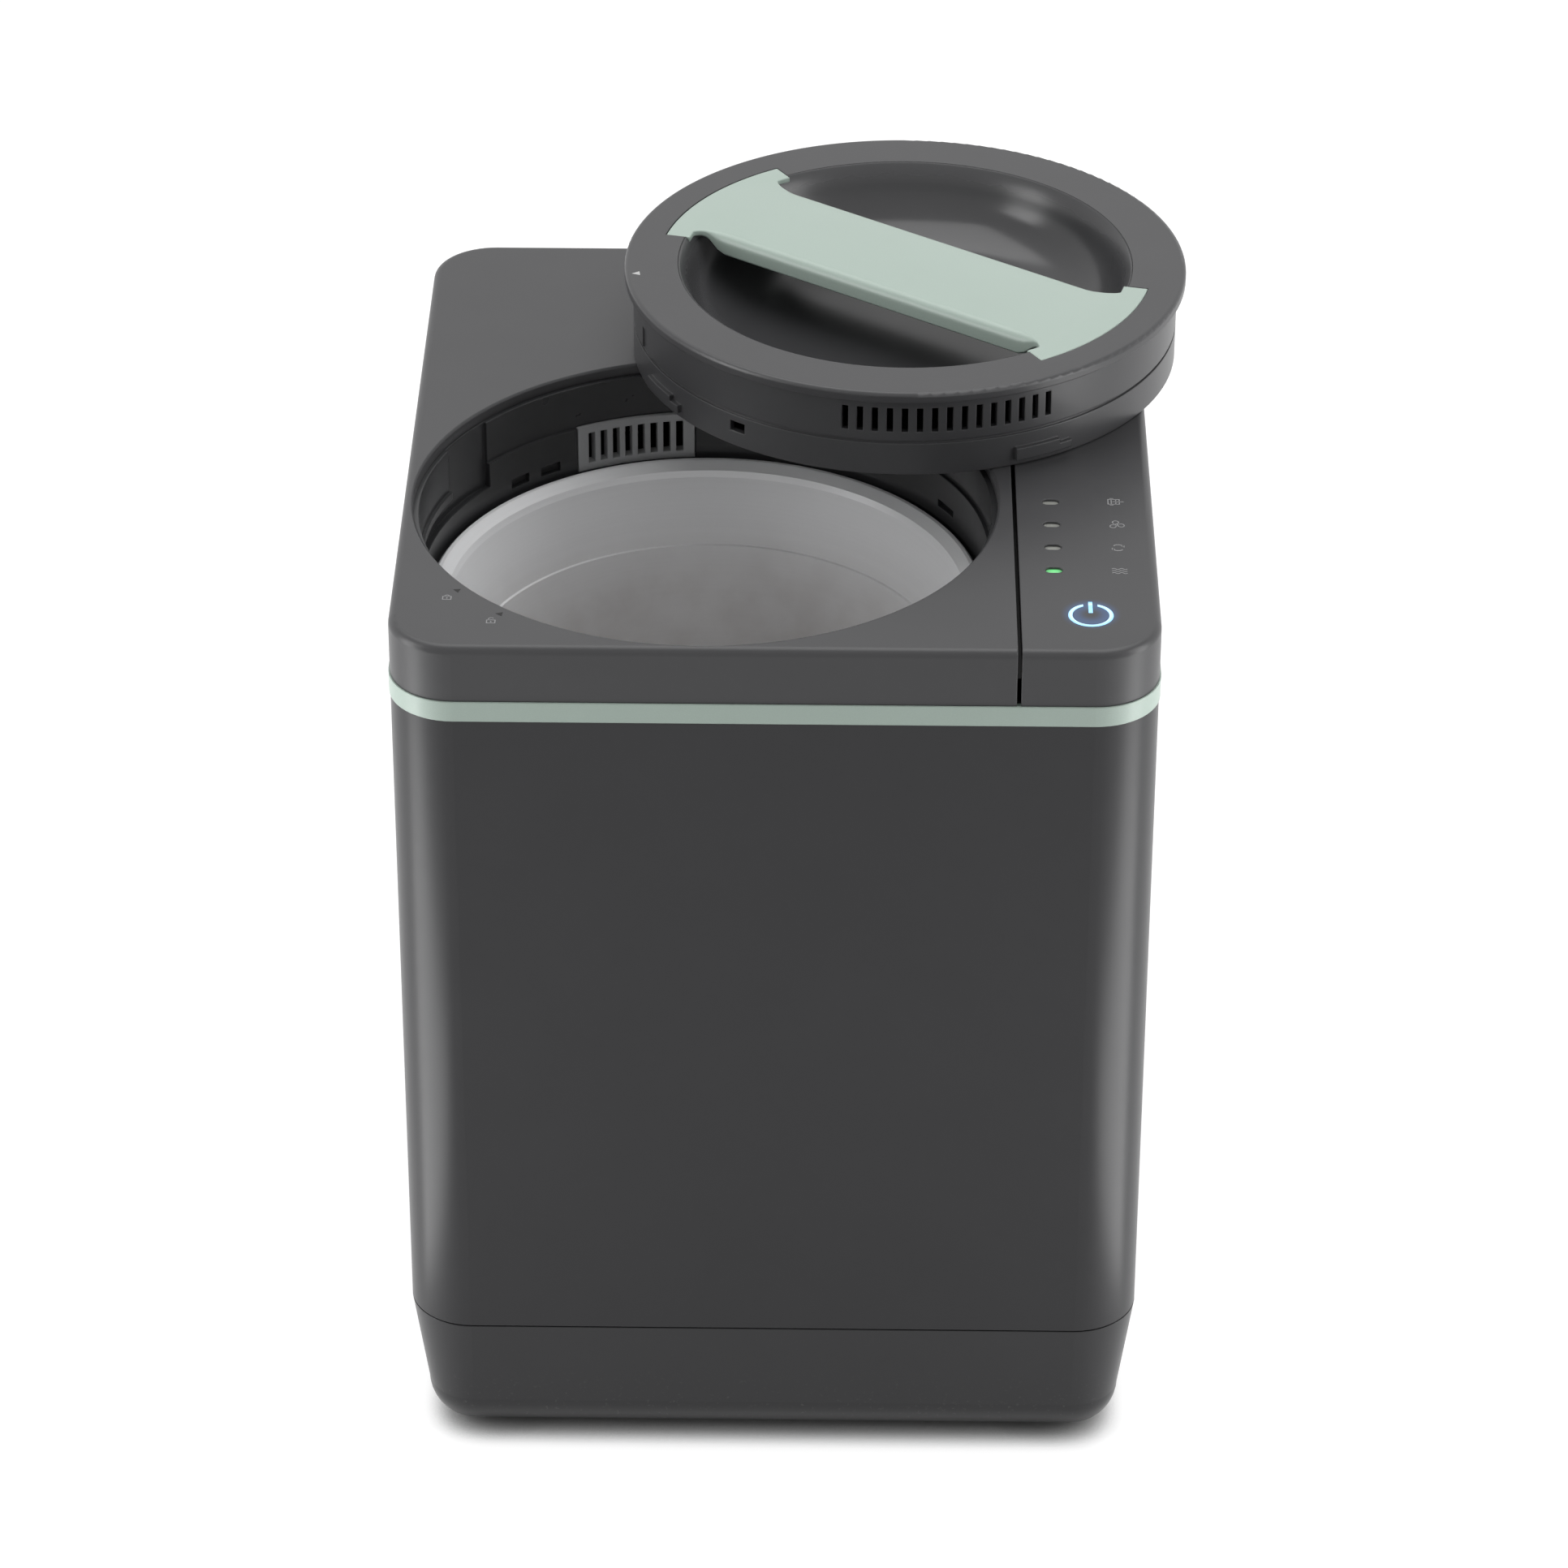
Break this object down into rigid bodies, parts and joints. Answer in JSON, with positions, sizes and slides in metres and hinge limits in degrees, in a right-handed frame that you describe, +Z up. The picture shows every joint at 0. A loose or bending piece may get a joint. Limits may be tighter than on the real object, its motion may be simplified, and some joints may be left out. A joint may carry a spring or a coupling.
{
  "type": "electric food waste composter",
  "caption": "Countertop food waste composter with a lift-out bucket and turning auger under a bridge-handled lid, a control strip, and carbon filters behind a rear cover.",
  "frame": {"origin": "on the counter, midway between the four rubber feet", "axes": "+Z up, -Y to the front with the plain front face, +X to the right towards the control strip"},
  "size_m": [0.2961, 0.3446, 0.3983],
  "materials": {
    "housing_plastic": "satin dark grey moulded plastic",
    "cover_plastic": "satin dark grey moulded plastic",
    "lid_plastic": "satin dark grey moulded plastic",
    "sage_trim": "satin grey-green plastic",
    "well_plastic": "smooth dark plastic",
    "black_plastic": "matt black plastic",
    "grille_plastic": "light grey plastic",
    "bucket_metal": "satin cast aluminium",
    "bar_metal": "cast aluminium",
    "auger_metal": "satin steel",
    "heater_metal": "machined aluminium",
    "steel": "bright steel",
    "deck_steel": "zinc plated sheet steel",
    "gearbox_alloy": "die-cast alloy",
    "bronze": "sintered bronze",
    "gear_nylon": "natural nylon",
    "motor_steel": "painted steel",
    "rubber": "black rubber",
    "seal_silicone": "red-brown silicone",
    "board": "green circuit board",
    "filter_plastic": "dark grey plastic",
    "clear_lens": "frosted lens",
    "glow_lens": "light guide"
  },
  "bodies": {
    "root": {"base_tray": "housing_plastic", "rubber_feet": "rubber", "base_screws": "steel", "housing": "housing_plastic", "trim_band": "sage_trim", "top_cover": "cover_plastic", "panel_gap_strip": "black_plastic", "control_panel": "cover_plastic", "indicator_lenses": "clear_lens", "power_light_ring": "glow_lens", "control_board": "board", "well_liner": "well_plastic", "air_grille": "grille_plastic", "heater_plate": "heater_metal", "heating_ring": "motor_steel", "thermostat": "gear_nylon", "shaft_seal": "seal_silicone", "deck_plate": "deck_steel", "deck_posts": "deck_steel", "gearbox_housing": "gearbox_alloy", "gearbox_cover": "gearbox_alloy", "gearbox_screws": "steel", "lower_bush": "bronze", "upper_bush": "bronze", "idler_pin": "steel", "motor_can": "motor_steel", "power_board": "board", "filter_bay": "black_plastic", "exhaust_duct": "black_plastic", "fan_frame": "black_plastic", "mains_inlet": "black_plastic", "inlet_pins": "steel", "lid_switch": "black_plastic"},
    "bucket": {"bucket": "bucket_metal", "bucket_bush": "bronze", "grinding_bars": "bar_metal"},
    "auger": {"auger": "auger_metal"},
    "lid": {"lid_shell": "lid_plastic", "lid_handle": "sage_trim", "lid_skirt": "lid_plastic", "lid_inner_plate": "well_plastic", "lid_gasket": "rubber"},
    "output": {"output_gear": "gear_nylon", "output_shaft": "steel"},
    "idler": {"idler_gear": "gear_nylon"},
    "rotor": {"motor_pinion": "bronze", "motor_rotor": "steel"},
    "fan": {"fan_wheel": "black_plastic"},
    "filter_a": {"filter_left": "filter_plastic"},
    "filter_b": {"filter_right": "filter_plastic"},
    "rear_door": {"rear_cover": "housing_plastic"}
  },
  "joints": [
    {"name": "bucket_lift", "type": "slide", "parent": "root", "child": "bucket", "axis": [0, 0, 1], "range_m": [0, 0.26]},
    {"name": "lid_lift", "type": "slide", "parent": "bucket", "child": "lid", "axis": [0, 0, 1], "range_m": [0, 0.2]},
    {"name": "auger_spin", "type": "hinge", "parent": "bucket", "child": "auger", "pos_m": [-0.027, -0.047, 0.22], "axis": [0, 0, 1], "continuous": true},
    {"name": "output_spin", "type": "hinge", "parent": "root", "child": "output", "pos_m": [-0.027, -0.047, 0.16], "axis": [0, 0, 1], "continuous": true},
    {"name": "idler_spin", "type": "hinge", "parent": "root", "child": "idler", "pos_m": [0.02925, -0.047, 0.15], "axis": [0, 0, 1], "continuous": true},
    {"name": "rotor_spin", "type": "hinge", "parent": "root", "child": "rotor", "pos_m": [0.05577, -0.02048, 0.1], "axis": [0, 0, 1], "continuous": true},
    {"name": "fan_spin", "type": "hinge", "parent": "root", "child": "fan", "pos_m": [-0.045, 0.1152, 0.29], "axis": [0, 0, 1], "continuous": true},
    {"name": "filter_left_out", "type": "slide", "parent": "root", "child": "filter_a", "axis": [0, 1, 0], "range_m": [0, 0.16]},
    {"name": "filter_right_out", "type": "slide", "parent": "filter_a", "child": "filter_b", "axis": [0, 1, 0], "range_m": [0, 0.16]},
    {"name": "rear_cover_off", "type": "slide", "parent": "filter_b", "child": "rear_door", "axis": [0, 1, 0], "range_m": [0, 0.12]}
  ],
  "couplings": [
    {"joint": "auger_spin", "follows": "output_spin", "ratio": 1},
    {"joint": "idler_spin", "follows": "output_spin", "ratio": -4},
    {"joint": "rotor_spin", "follows": "output_spin", "ratio": 16}
  ]
}
